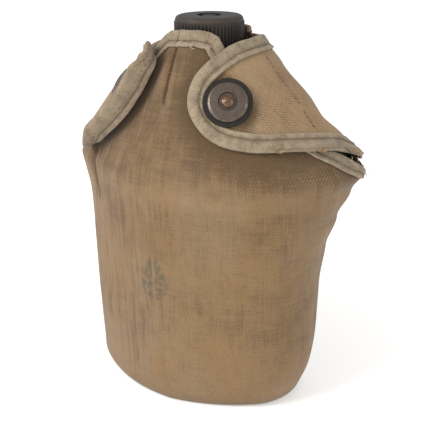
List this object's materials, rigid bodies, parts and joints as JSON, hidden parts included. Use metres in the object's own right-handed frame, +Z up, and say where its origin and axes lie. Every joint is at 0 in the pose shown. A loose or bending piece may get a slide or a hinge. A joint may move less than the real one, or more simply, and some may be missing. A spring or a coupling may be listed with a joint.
{
  "type": "canteen",
  "caption": "Kidney section metal water bottle with a ribbed screw cap, in a felt lined canvas cover with two snap flaps and a wire belt hanger.",
  "frame": {"origin": "on the resting plane, straight under the axis of the neck", "axes": "+Z up along the neck, front of the cover faces -Y, +X to the right seen from the front, the width runs along X"},
  "size_m": [0.1596, 0.0891, 0.19],
  "materials": {
    "bare_metal": "dull, slightly scratched",
    "black_moulding": "worn semi gloss moulding",
    "seal": "matt",
    "plain_steel": "dull plated",
    "dark_steel": "blackened",
    "worn_steel": "worn dark plating",
    "old_brass": "tarnished",
    "canvas": "khaki duck, faded",
    "tape": "pale twill tape, frayed",
    "felt": "thick wool felt",
    "webbing": "woven cotton webbing"
  },
  "bodies": {
    "cover_and_bottle": {"bottle_shell": "bare_metal", "bottle_neck": "bare_metal", "chain_lug": "bare_metal", "front_panel": "canvas", "back_panel": "canvas", "bottom_panel": "canvas", "front_felt": "felt", "back_felt": "felt", "bottom_felt": "felt", "neck_binding_front": "tape", "neck_binding_back": "tape", "left_shoulder_binding": "tape", "right_shoulder_binding": "tape", "snap_studs": "old_brass", "stud_washers": "old_brass", "hanger_pad": "webbing", "hanger_loop": "webbing"},
    "cap_seal": {"cap_gasket": "seal", "cap_washer": "plain_steel", "cap_rivet": "plain_steel"},
    "cap": {"cap_shell": "black_moulding"},
    "left_flap_body": {"left_flap": "canvas", "left_flap_binding": "tape", "left_snap_ring": "dark_steel", "left_snap_disc": "worn_steel", "left_snap_rivet": "old_brass", "left_snap_socket": "dark_steel"},
    "right_flap_body": {"right_flap": "canvas", "right_flap_binding": "tape", "right_snap_ring": "dark_steel", "right_snap_disc": "worn_steel", "right_snap_rivet": "old_brass", "right_snap_socket": "dark_steel"},
    "hanger": {"hanger_wire": "plain_steel"}
  },
  "joints": [
    {"name": "cap_rise", "type": "slide", "parent": "cover_and_bottle", "child": "cap_seal", "axis": [0, 0, 1], "range_m": [0, 0.0201]},
    {"name": "cap_turn", "type": "hinge", "parent": "cap_seal", "child": "cap", "pos_m": [0, 0, 0.18], "axis": [0, 0, 1], "range_deg": [0, 1440]},
    {"name": "left_flap_open", "type": "hinge", "parent": "cover_and_bottle", "child": "left_flap_body", "pos_m": [-0.02175, 0.01354, 0.18], "axis": [-0.6693, 0.1375, -0.7302], "range_deg": [0, 125]},
    {"name": "right_flap_open", "type": "hinge", "parent": "cover_and_bottle", "child": "right_flap_body", "pos_m": [0.02175, 0.01354, 0.18], "axis": [-0.6693, -0.1375, 0.7302], "range_deg": [0, 125]},
    {"name": "hanger_swing", "type": "hinge", "parent": "cover_and_bottle", "child": "hanger", "pos_m": [0, 0.0255, 0.116], "axis": [1, 0, 0], "range_deg": [0, 160]}
  ],
  "couplings": [
    {"joint": "cap_rise", "follows": "cap_turn", "m_per_rad": 0.00079577}
  ]
}
